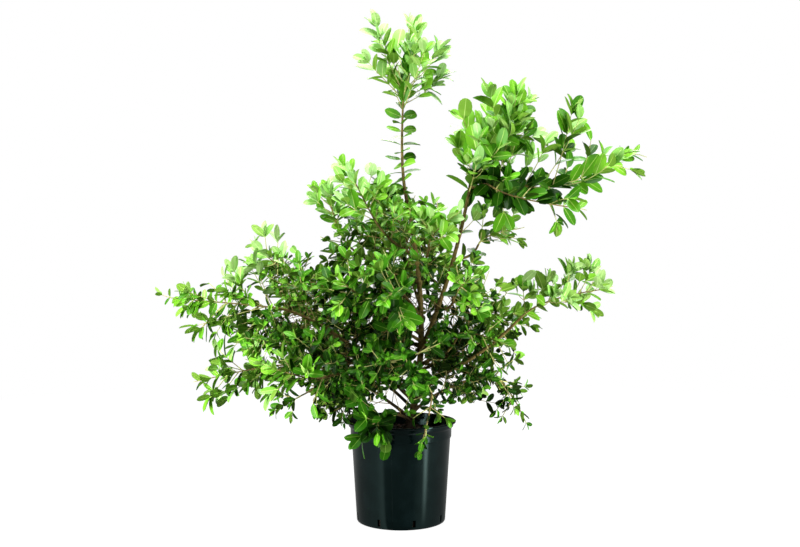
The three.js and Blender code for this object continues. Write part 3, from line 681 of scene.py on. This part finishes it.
def in_reach(point, box):
    """Near the mass's own box, within the whole part's, and outside the pot."""
    over_pot = hypot(point[0], point[1]) < (POT_RIM + POT_CLEARANCE) * MM
    if over_pot and point[2] < (POT_HEIGHT + POT_CLEARANCE) * MM:
        return False
    for (low, high), slack in ((box, MASS_SLACK * MM), (whole_box, WHOLE_SLACK * MM)):
        if np.any(point < low - slack) or np.any(point > high + slack):
            return False
    return bool(point[2] > 0)


def seen_at(points):
    """Where points stand in the front view, carried to the plane of the pot's axis."""
    scale = CAMERA.distance * MM / (CAMERA.distance * MM + points[..., 1])
    return np.stack([points[..., 0] * scale, (points[..., 2] - CAMERA.height * MM) * scale], -1)


view_lines = [curves[name].at(np.linspace(*span, VIEW_POINTS)) for name, span in IN_VIEW.items()]
view_points = np.concatenate(view_lines)
view_spots = seen_at(view_points)
openings = np.array(OPENINGS, float) * MM


def hides_limb(point):
    near = np.linalg.norm(view_spots - seen_at(point), axis=1) < VIEW_GAP * MM
    return bool(np.any(near & (view_points[:, 1] > point[1])))


def in_opening(point):
    spot = seen_at(point) + np.array([0, CAMERA.height * MM])
    return bool(np.any(np.sum(((spot - openings[:, :2]) / openings[:, 2:]) ** 2, axis=1) < 1))


def kept_clear(point):
    return hides_limb(point) or in_opening(point)


def grow_leaf(frame_at, side, size, opening, shade, box, draw, front=None, spread=LEAF.spread):
    foot, axis, ways = frame_at
    length = size * draw(*LEAF.range) * MM
    way = leaning(axis, ways[side], opening + draw(-spread, spread))
    facing = axis * FACING.along + UP * FACING.up + unit(foot - place(HEART)) * FACING.out
    if front is None:
        front = FACING.front if foot[2] > FACING.high * MM else 0
    facing = facing - np.array([0, front, 0])
    across = unit(np.cross(facing, way))
    across = turn(across, way, draw(*FACING.twist))
    width = length * draw(*LEAF.width)
    bend, fold, curl = draw(*BLADE.bend), draw(*BLADE.fold), draw(*BLADE.curl)
    number = int(min(max(round(shade + draw(*LEAF.shades)), 0), len(SHADES) - 1))
    reached = in_reach(foot + way * length, box) and not in_opening(foot + way * length * LEAF.near_tip)
    if reached and not kept_clear(foot + way * length / 2):
        leaf_rows.append((*foot, *way, *across, length, width, bend, fold, curl, number))


def leaf_pairs(twig, shares, turns, size, tone, youth, opening, box, draw, taper=PAIR.taper):
    """Crossed pairs along a twig, small and deep at its foot, small and pale at its end."""
    last = len(shares) - 1
    for k, (share, side) in enumerate(zip(shares, turns)):
        near_end = k / last if last else 1.0
        scale = np.interp(near_end, (0, 0.5, 1), (PAIR.foot, 1, 1 - taper))
        shade = tone + PAIR.deeper - youth * near_end ** PAIR.fading
        wide = opening * (LAST_OPEN if k == last else 1)
        for way in (side, side + 2):
            grow_leaf(twig.frame(share), way, size * scale, wide, shade, box, draw)
    side = turns[-1] + 1
    for way in (side % 4, (side + 2) % 4):
        grow_leaf(twig.frame(1.0), way, size * PAIR.end, END_OPEN, tone - youth, box, draw)


def even_nodes(length, bare, gap):
    span = 1 - NODE_END * MM / length - bare
    count = max(1, round(length * span / (gap * MM)))
    return [bare + span * k / count for k in range(1, count + 1)]


def crossed(nodes, first=0):
    return [(k + first) % 2 for k in range(len(nodes))]


def bent_shoot(foot, way, length, lift, roll):
    middle = foot + way * length / 2
    tip = middle + unit(way + UP * lift) * length / 2
    return Twig(Curve(foot, middle, tip), sideways(way, roll))


def side_twigs(parent, share, side, reach, looks, box, draw):
    foot, axis, ways = parent.frame(share)
    for which in (side, side + 2):
        length = reach * draw(*TWIG.lengths)
        if length < TWIG.least * MM:
            continue
        way = leaning(axis, ways[which], TWIG.splay + draw(*TWIG.sway))
        twig = bent_shoot(foot, way, length, looks.rise, draw(*ROLL))
        stops = any(kept_clear(twig.curve.at(far)) for far in TWIG_CHECKED)
        if stops or not in_reach(twig.curve.at(1.0), box):
            continue
        add_tube(young_twigs, twig.curve, *TWIG_TUBE)
        nodes = even_nodes(length, TWIG.bare, NODE_GAP * TWIG.scale)
        size = looks.leaf * TWIG.scale
        leaf_pairs(twig, nodes, crossed(nodes), size, looks.tone, SHOOT.youth, looks.opening, box, draw)


def grow_along(twig, length, nodes, turns, looks, youth, box, draw):
    """Pairs of side twigs at some nodes of a twig, then leaf pairs at all of them."""
    for share, side in list(zip(nodes, turns))[:-1]:
        if draw(0, 1) < looks.fill:
            side_twigs(twig, share, side, length * (1 - share), looks, box, draw)
    leaf_pairs(twig, nodes, turns, looks.leaf, looks.tone, youth, looks.opening, box, draw)


def grow_shoot(shoot, looks, box, draw, bare, gap=NODE_GAP):
    length = shoot.curve.length
    nodes = even_nodes(length, bare, gap)
    grow_along(shoot, length, nodes, crossed(nodes, 1), looks, SHOOT.youth, box, draw)
    add_tube(young_twigs, shoot.curve, *SHOOT_TUBE)


def grow_mass(name, index):
    grows, looks = Growth(*MASSES[name][0]), Looks(*MASSES[name][1])
    own = COMMON | OWN.get(name, {})
    box = tuple(np.array(corner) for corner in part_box(f"{name}_leaves"))
    curve = stem_curve(own.get("limb", name), grows.tip)
    stem = rolled(curve, STEM.roll)
    twigs[f"{name}_leaves"] = stem
    draw, fine = dice(SEEDS.mass + index), dice(SEEDS.fine + index)
    last = 1 - NODE_END * MM / curve.length
    spaces = 2 * grows.pairs
    marks = [grows.first + (last - grows.first) * k / spaces for k in range(spaces + 1)]
    shares, turns = [], []
    for k, share in enumerate(marks):
        side = (k + 1) // 2 % 2
        shares.append(share)
        turns.append(side)
        if k == spaces:
            break
        span = marks[k + 1] - share
        reach = grows.reach * own["reach"] * (1 - own["shorten"] * share) * MM
        between = max(round(span * curve.length / (own["gap"] * MM)) - 1, 0)
        for i in range(between):
            shares.append(share + span * (i + 1) / (between + 1))
            turns.append((side + i + 1) % 2)
            if fine(0, 1) < looks.fill:
                side_twigs(stem, shares[-1], turns[-1], reach * TWIG.on_stem, looks, box, fine)
        # The source's own shoots stand at every second mark, and finer ones between them.
        deal, far, lift = draw, 1, grows.lift
        if k % 2:
            if fine(0, 1) > own.get("more", looks.fill):
                continue
            deal, far, lift = fine, MORE.length, grows.lift + MORE.lift + MORE.rise * looks.rise
        foot, axis, ways = stem.frame(share)
        for which in (side, side + 2):
            way = leaning(axis, ways[which], grows.splay + deal(*SHOOT.sway))
            length = reach * far * deal(*SHOOT.lengths)
            shoot = bent_shoot(foot, way, length, lift, deal(*ROLL))
            tip = shoot.curve.at(1.0)
            hides = any(hides_limb(shoot.curve.at(at)) for at in SHOOT.checked)
            if in_reach(tip, box) and not hides and not in_opening(tip):
                grow_shoot(shoot, looks, box, fine, SHOOT.bare, own["gap"])
    tone, youth = looks.tone + STEM.deeper, STEM.youth * own["youth"]
    leaf_pairs(stem, shares, turns, looks.leaf, tone, youth, looks.opening, box, fine, own["taper"])
    add_tube(young_twigs if own["green"] else old_twigs, curve, *own["tube"])

    end_lift = own.get("end_lift", grows.lift / 2)
    end = bent_shoot(curve.at(1.0), curve.tangent(1.0), grows.reach * END.share * MM, end_lift, 0.0)
    nodes = even_nodes(end.curve.length, SHOOT.bare, NODE_GAP * END.scale)
    size = looks.leaf * END.scale * (1 - own["taper"]) / (1 - PAIR.taper)
    tone, youth = looks.tone - END.paler * own["youth"], END.youth * own["youth"]
    leaf_pairs(end, nodes, crossed(nodes), size, tone, youth, looks.opening, box, fine)
    add_tube(young_twigs, end.curve, *END_TUBE)


def grow_inner(name, curve, index):
    """Twigs with small deep-green leaves along a limb."""
    own = Named(**(INNER | INNER_OWN.get(name, {})))
    low, high = own.span
    draw = dice(SEEDS.inner + index)
    count = max(1, int(curve.length * (high - low) / (own.gap * MM)))
    limb = rolled(curve, draw(*INNER_ROLL))
    for k in range(count):
        foot, axis, ways = limb.frame(low + (high - low) * (k + draw(0, own.uneven)) / count)
        for which in (k % 2, k % 2 + 2):
            length = draw(*own.length) * own.reach * MM
            way = leaning(axis, ways[which], draw(*own.splay))
            twig = bent_shoot(foot, way, length, draw(*own.lift), draw(*own.roll))
            tip = twig.curve.at(1.0)
            if draw(0, 1) > own.share or not in_reach(tip, whole_box) or in_opening(tip):
                continue
            if own.open_front and way[1] < -FORWARD:
                continue
            add_tube(old_twigs, twig.curve, *TWIG_TUBE)
            height = foot[2] / MM
            leaf = draw(*own.leaf) * np.interp(height, *INNER_SIZE)
            tone = np.interp(height, *INNER_TONE_AND_SHADE) - own.paler
            looks = Looks(leaf, tone, own.fill, own.rise, own.opening)
            nodes = even_nodes(length, TWIG.bare, NODE_GAP * TWIG.scale)
            grow_along(twig, length, nodes, crossed(nodes), looks, own.youth, whole_box, draw)


for index, name in enumerate(MASSES):
    grow_mass(name, index)

for index, (name, (low, high), leaf, gap, opening, tone, in_rows) in enumerate(LEAFY):
    draw = dice(SEEDS.bare + index)
    count = int(twigs[name].curve.length * (high - low) / (gap * MM))
    front, spread = (ROW.front, ROW.spread) if in_rows else (TO_FRONT.get(name), LEAF.spread)
    for k in range(count):
        frame_at = twigs[name].frame(low + (high - low) * k / count)
        side = 0 if in_rows else k % 2
        for way in (side, side + 2):
            grow_leaf(frame_at, way, leaf, opening, tone, whole_box, draw, front, spread)

draw = dice(SEEDS.shoots)
for mass, stem, bare, rows in SHOOTS:
    for share, which, length, splay, lift in rows:
        foot, axis, ways = twigs[stem or f"{mass}_leaves"].frame(share)
        shoot = bent_shoot(foot, leaning(axis, ways[which], splay), length * MM, lift, draw(*ROLL))
        grow_shoot(shoot, Looks(*MASSES[mass][1]), whole_box, draw, bare)

for index, (name, curve) in enumerate(curves.items()):
    if name not in NO_INNER:
        grow_inner(name, curve, index)

build_leaves([f"{name}_leaves" for name in MASSES])
old_bark = material(
    "twig_old", (0.22, 0.165, 0.055), 0.75, 0.15, bump=(260, 4, 0.0008),
    mottle=((0.115, 0.082, 0.028), 90, 0.4, 0.62), vary=0.08)
old_twigs.build("twigs_old", [old_bark], "bark", sharp=60)
young_bark = material(
    "twig_young", (0.44, 0.46, 0.14), 0.6, 0.35, bump=(300, 3, 0.0004),
    mottle=((0.36, 0.30, 0.12), 70, 0.45, 0.65), vary=0.06)
young_twigs.build("twigs_young", [young_bark], "foliage", sharp=60)


# Trunk and boughs with the bark's relief: ridges, scars where leaf pairs stood, and a collar at each fork.
TRUNK_RINGS, BOUGH_RINGS = {"sides": 18, "step": 3.5}, {"sides": 11, "step": 5}
LEAST_RINGS, LIMB_TIP = 8, 0.6
COLLAR = Named(swell=0.55, fades=9)
SCAR = Named(gap=27, width=1.6, height=0.07)
# Ridges and grain: waves across, waves along, the shift from limb to limb, and the height.
BARK_WAVES = ((2.2, 45, 7, 0.16), (5, 160, 3, 0.09))
bark = Piece()


def bark_relief(angle, far, seed):
    x, y = cos(angle), sin(angle)
    return sum(
        height * noise.noise(Vector((x * across, y * across, far * along + seed * shift)))
        for across, along, shift, height in BARK_WAVES
    )


def add_limb(curve, radii, sides, step, seed, profile=None):
    rows = max(LEAST_RINGS, int(curve.length / (step * MM)))
    shares = np.linspace(0, 1, rows + 1)
    centres, outs = rings_along(curve, shares, sides)
    points = np.zeros((rows + 1, sides, 3))
    for i, share in enumerate(shares):
        far = share * curve.length
        radius = (radii[0] + (radii[1] - radii[0]) * share) * MM
        if profile:
            radius = profile(centres[i], radius)
        else:
            radius *= 1 + COLLAR.swell * exp(-max(far / MM - radii[0], 0) / COLLAR.fades)
        scar = exp(-(((far / MM) % SCAR.gap - SCAR.gap / 2) / SCAR.width) ** 2)
        for j in range(sides):
            relief = bark_relief(2 * pi * j / sides, far, seed) + SCAR.height * scar
            points[i, j] = centres[i] + outs[i, j] * radius * (1 + relief)
    tip = curve.at(1.0) + curve.tangent(1.0) * radii[1] * MM * LIMB_TIP
    add_rings(bark, points, tip)


def trunk_profile(centre, radius):
    above = centre[2] / MM - SOIL.top
    levels = [share * FLARE.height for share in FLARE.shares]
    return max(radius, np.interp(above, levels, FLARE.radii) * MM)


add_limb(curves["trunk"], TRUNK.radius, **TRUNK_RINGS, seed=1, profile=trunk_profile)
for seed, (name, row) in enumerate(BOUGHS.items(), 2):
    add_limb(curves[name], row[-1], **BOUGH_RINGS, seed=seed)
# The bark turns darker from 420 mm down to 240 mm: painted shade at the trunk's foot under the crown.
limb_bark = material(
    "bark", (0.150, 0.116, 0.034), 0.85, 0.08, bump=(320, 5, 0.0012),
    mottle=((0.058, 0.042, 0.013), 75, 0.38, 0.62), vary=0.08, painted_shade_below=((0.012, 0.008, 0.005), 240, 420))
bark.build("bark_limbs", [limb_bark], "bark", ["trunk"] + [f"{name}_bough" for name in BOUGHS], sharp=60)


# Pot: a turned shell with its drain slots cut through and the mould's seam raised on its side.
def turned_pot():
    half = SEAM.width / 2 / POT_RIM
    marks = radians(SEAM.angle) + half * np.array([-1, -0.5, 0, 0.5, 1])
    even = np.linspace(-pi, pi, POT_SIDES, endpoint=False)
    even = even[abs(even - marks[2]) > 2 * half]
    angles = np.sort(np.concatenate([even, marks]))
    on_seam = np.isin(angles, marks[1:4])
    sides = len(angles)
    rows = [(r, z) for r, z in POT_OUTER + POT_INNER if r > 0]
    ring = np.stack([np.sin(angles), -np.cos(angles), np.zeros(sides)], 1)
    points = []
    for i, (r, z) in enumerate(rows):
        on_wall = i < len(POT_OUTER) and SEAM.low < z < SEAM.high
        radius = r + on_seam * SEAM.height * on_wall
        points.append(ring * radius[:, None] * MM + UP * z * MM)
    points.append(np.array([[0, 0, POT_OUTER[0][1] * MM], [0, 0, POT_INNER[-1][1] * MM]]))
    total, last = len(rows) * sides, (len(rows) - 1) * sides
    pot = Piece()
    pot.add(np.concatenate(points), grid_faces(len(rows), sides))
    pot.extend(np.array([[total, (j + 1) % sides, j] for j in range(sides)]))
    pot.extend(np.array([[total + 1, last + j, last + (j + 1) % sides] for j in range(sides)]))
    return pot


def slot_cutter():
    """Upright boxes across the pot's wall, one for each drain slot."""
    corners = np.array([(x, y, z) for x in (-0.5, 0.5) for y in (-0.5, 0.5) for z in (0, 1)])
    faces = [(0, 1, 3, 2), (4, 6, 7, 5), (0, 4, 5, 1), (2, 3, 7, 6), (0, 2, 6, 4), (1, 5, 7, 3)]
    x, y = corners[:, 0] * SLOT.width, corners[:, 1] * SLOT.deep - SLOT.radius
    z = SLOT.low + corners[:, 2] * (SLOT.high - SLOT.low)
    made = Piece()
    for i in range(SLOT.count):
        angle = radians(SLOT.first + 360 * i / SLOT.count)
        c, s = cos(angle), sin(angle)
        made.add(np.stack([x * c - y * s, x * s + y * c, z], 1) * MM, faces)
    return linked("slot_cutter", made.mesh("slot_cutter", flat=True))


plastic = material(
    "pot_plastic", (0.0006, 0.0020, 0.0021), 0.14, 0.24, bump=(900, 3, 0.00005),
    mottle=((0.0015, 0.0039, 0.0041), 24, 0.45, 0.7), vary=0.015)
feed(plastic.node_tree.nodes["Principled BSDF"], {"Specular Tint": (0.6, 1, 0.92, 1)})
shell = turned_pot().build("pot_shell", [plastic], "pot", ["pot"], sharp=34)
cutter = slot_cutter()
cut = shell.modifiers.new("slots", "BOOLEAN")
cut.operation, cut.object, cut.solver = "DIFFERENCE", cutter, "EXACT"
graph = bpy.context.evaluated_depsgraph_get()
cut_mesh = bpy.data.meshes.new_from_object(shell.evaluated_get(graph))
shell.modifiers.clear()
shell.data = cut_mesh
bpy.data.objects.remove(cutter)


# Soil with crumbs and bark chips on it.
def soil_level(r):
    fall = SOIL.top - SOIL.edge
    return SOIL.top - fall * max(r - SOIL.flat, 0) / (SOIL.radius - SOIL.flat)


def soil_surface(angles):
    points = []
    for i in range(SOIL.rings):
        r = SOIL.radius * (1 - i / (SOIL.rings - 0.5)) - SOIL.inset
        for angle in angles:
            x, y = r * cos(angle), r * sin(angle)
            lump = sum(high * noise.noise(Vector((x, y, layer)) * waves) for high, waves, layer in SOIL_LUMPS)
            points.append((x, y, soil_level(r) - SOIL.sunk + lump))
    return points


def chip_points(draw):
    r, angle = CHIP.radius * sqrt(draw(0, 1)), draw(0, 2 * pi)
    x, y = r * cos(angle), r * sin(angle)
    long, wide, high = draw(*CHIP.long), draw(*CHIP.wide), draw(*CHIP.high)
    heading = draw(0, pi)
    c, s = cos(heading), sin(heading)
    points = []
    for along, aside, above in CHIP_CORNERS:
        px, py = along * long / 2 * draw(*CHIP_RAGGED), aside * wide / 2 * draw(*CHIP_RAGGED)
        pz = (above - CHIP.sunk) * high + draw(*CHIP_UNEVEN)
        points.append((x + px * c - py * s, y + px * s + py * c, soil_level(r) + pz))
    return np.array(points) * MM


soil = Piece()
rings, sides = SOIL.rings, SOIL.sides
angles = np.linspace(0, 2 * pi, sides, endpoint=False)
foot = [(SOIL_FOOT.radius * cos(a), SOIL_FOOT.radius * sin(a), SOIL_FOOT.height) for a in angles]
soil.add(np.array(foot + soil_surface(angles)) * MM, grid_faces(rings + 1, sides))
soil.extend(np.stack([rings * sides + np.arange(sides), np.arange(sides)[::-1]]))
draw = dice(SEEDS.chips)
for i in range(CHIP.count):
    soil.add(chip_points(draw), CHIP_FACES, 1 + (i % 2))
# Soil and chips are dark brown, made darker still as painted shade for the crown's shadow over the pot.
soil.build("soil_bed", [
    material("soil_mix", (0.014, 0.010, 0.007), 0.95, 0.10, bump=(260, 6, 0.002),
             mottle=((0.006, 0.005, 0.004), 90, 0.4, 0.6)),
    material("bark_chip", (0.034, 0.020, 0.012), 0.9, 0.1, bump=(400, 4, 0.001),
             mottle=((0.016, 0.010, 0.007), 160, 0.4, 0.6)),
    material("dark_chip", (0.016, 0.011, 0.008), 0.92, 0.1, bump=(400, 4, 0.001),
             mottle=((0.008, 0.006, 0.005), 160, 0.4, 0.6)),
], "soil", ["soil"], sharp=30)


# Stage, in metres, lit by softboxes, a lamp behind, and two low strips for the light off the floor, which the
# pot's gloss does not show.
FLOOR = Named(radius=3, sides=96, glow=0.95)
# Painted reflections for the pot's gloss: the floor glows only for glossy rays, so the pot shows
# highlights that no lamp casts. Bearings in degrees from the camera's side, seen from a point in the pot,
# and how bright that glow is there. One bright streak of painted highlight grows towards the far end.
PAINTED_REFLECTION_FROM = 0.073
PAINTED_POT_REFLECTION = (
    (-180, 0.15), (-110, 0.2), (-86, 0.3), (-62, 0.5), (-51, 1), (-46, 1), (-42, 0.05),
    (32, 0.05), (48, 0.4), (66, 0.45), (84, 0.28), (110, 0.15), (180, 0.15),
)
PAINTED_POT_STREAK = Named(bearing=62, half=7, shine=9, near=0.13, far=0.56)
# Brightness of the surroundings as the camera sees them, and as they light the plant.
SEEN_SKY, SKY_LIGHT = 1, 0.06
# Lights: place, height on the pot's axis that they aim at, width, height and watts.
LIGHTS = {
    "overhead": ((-0.15, -0.35, 3.4), 0.7, 2.4, 1.9, 235),
    "left_box": ((-2.05, -1.4, 1.05), 0.6, 0.9, 2, 98),
    "right_box": ((2.17, -1.25, 1.05), 0.6, 0.4, 2, 74),
    "left_bounce": ((-0.92, -0.6, 0.1), 0.12, 0.07, 0.2, 9),
    "right_bounce": ((0.95, -0.55, 0.1), 0.12, 0.03, 0.2, 13),
    "back_top": ((0.3, 1.6, 2.2), 0.7, 1.4, 0.8, 36),
}

angles = np.linspace(0, 2 * pi, FLOOR.sides, endpoint=False)
rim = np.stack([np.cos(angles), np.sin(angles), np.zeros(len(angles))], 1) * FLOOR.radius
ground = bpy.data.meshes.new("floor")
ground.from_pydata(rim.tolist(), [], [list(range(len(angles)))])
paint = material("floor_paint", (0.07, 0.072, 0.07), 0.8, 0.1, bump=(40, 2, 0.0004))
ground.materials.append(paint)


def worked(operation, *values):
    """A sum on the floor's paint: each value is a number or another node's output."""
    node = added(paint.node_tree, "Math", dict(enumerate(values)))
    node.operation = operation
    return node.outputs[0]


def graded(value, stops):
    """A value read off a list of stops: what comes in, and what goes out, which is at most one."""
    first, last = stops[0][0], stops[-1][0]
    share = worked("DIVIDE", worked("SUBTRACT", value, first), last - first)
    node = added(paint.node_tree, "ValToRGB", {"Fac": share})
    ramp = node.color_ramp.elements
    while len(ramp) < len(stops):
        ramp.new(0.5)
    for element, (at, level) in zip(ramp, stops):
        element.position = (at - first) / (last - first)
        element.color = (level, level, level, 1)
    return node.outputs["Color"]


seen = added(paint.node_tree, "LightPath", {}).outputs
where = added(paint.node_tree, "TexCoord", {}).outputs["Object"]
spot = added(paint.node_tree, "SeparateXYZ", {"Vector": where}).outputs
x, y = spot["X"], spot["Y"]
bearing = worked("DEGREES", worked("ARCTAN2", x, worked("SUBTRACT", -PAINTED_REFLECTION_FROM, y)))
aside = worked("ABSOLUTE", worked("SUBTRACT", bearing, PAINTED_POT_STREAK.bearing))
distance = worked("SQRT", worked("ADD", worked("MULTIPLY", x, x), worked("MULTIPLY", y, y)))
streak = worked("MULTIPLY", graded(aside, ((0, 1), (PAINTED_POT_STREAK.half, 0))),
                graded(distance, ((PAINTED_POT_STREAK.near, 0), (PAINTED_POT_STREAK.far, 1))))
shine = worked("ADD", graded(bearing, PAINTED_POT_REFLECTION), worked("MULTIPLY", streak, PAINTED_POT_STREAK.shine))
# For the camera the floor glows evenly. For glossy rays it glows with the painted reflections that make the
# pot's highlights.
glow = worked("ADD", worked("MULTIPLY", seen["Is Camera Ray"], FLOOR.glow),
              worked("MULTIPLY", seen["Is Glossy Ray"], shine))
feed(paint.node_tree.nodes["Principled BSDF"], {"Emission Color": WHITE, "Emission Strength": glow})
ground_piece = linked("floor", ground)

world = bpy.data.worlds.new("surroundings")
scene.world = world
world.use_nodes = True
tree = world.node_tree
shown = tree.nodes["Background"]
feed(shown, {"Color": WHITE, "Strength": SEEN_SKY})
ambient = added(tree, "Background", {"Color": WHITE, "Strength": SKY_LIGHT})
camera_ray = added(tree, "LightPath", {}).outputs["Is Camera Ray"]
sky = added(tree, "MixShader", {"Fac": camera_ray, 1: ambient.outputs[0], 2: shown.outputs[0]})
feed(tree.nodes["World Output"], {"Surface": sky.outputs[0]})

for name, (spot, aim_height, wide, tall, watts) in LIGHTS.items():
    lamp = bpy.data.lights.new(name, "AREA")
    lamp.shape, lamp.size, lamp.size_y, lamp.energy = "RECTANGLE", wide, tall, watts
    holder = linked(name, lamp)
    holder.location = spot
    holder.rotation_euler = (Vector((0, 0, aim_height)) - Vector(spot)).to_track_quat("-Z", "Y").to_euler()
    holder.visible_camera = False
    holder.visible_glossy = not name.endswith("bounce")

camera = linked("camera", bpy.data.cameras.new("camera"))
camera.data.lens, camera.data.sensor_width = CAMERA.lens, CAMERA.sensor
camera.location = (CAMERA.x * MM, -CAMERA.distance * MM, CAMERA.height * MM)
camera.rotation_euler = (pi / 2, 0, 0)
scene.camera = camera
scene.view_settings.view_transform = "Standard"
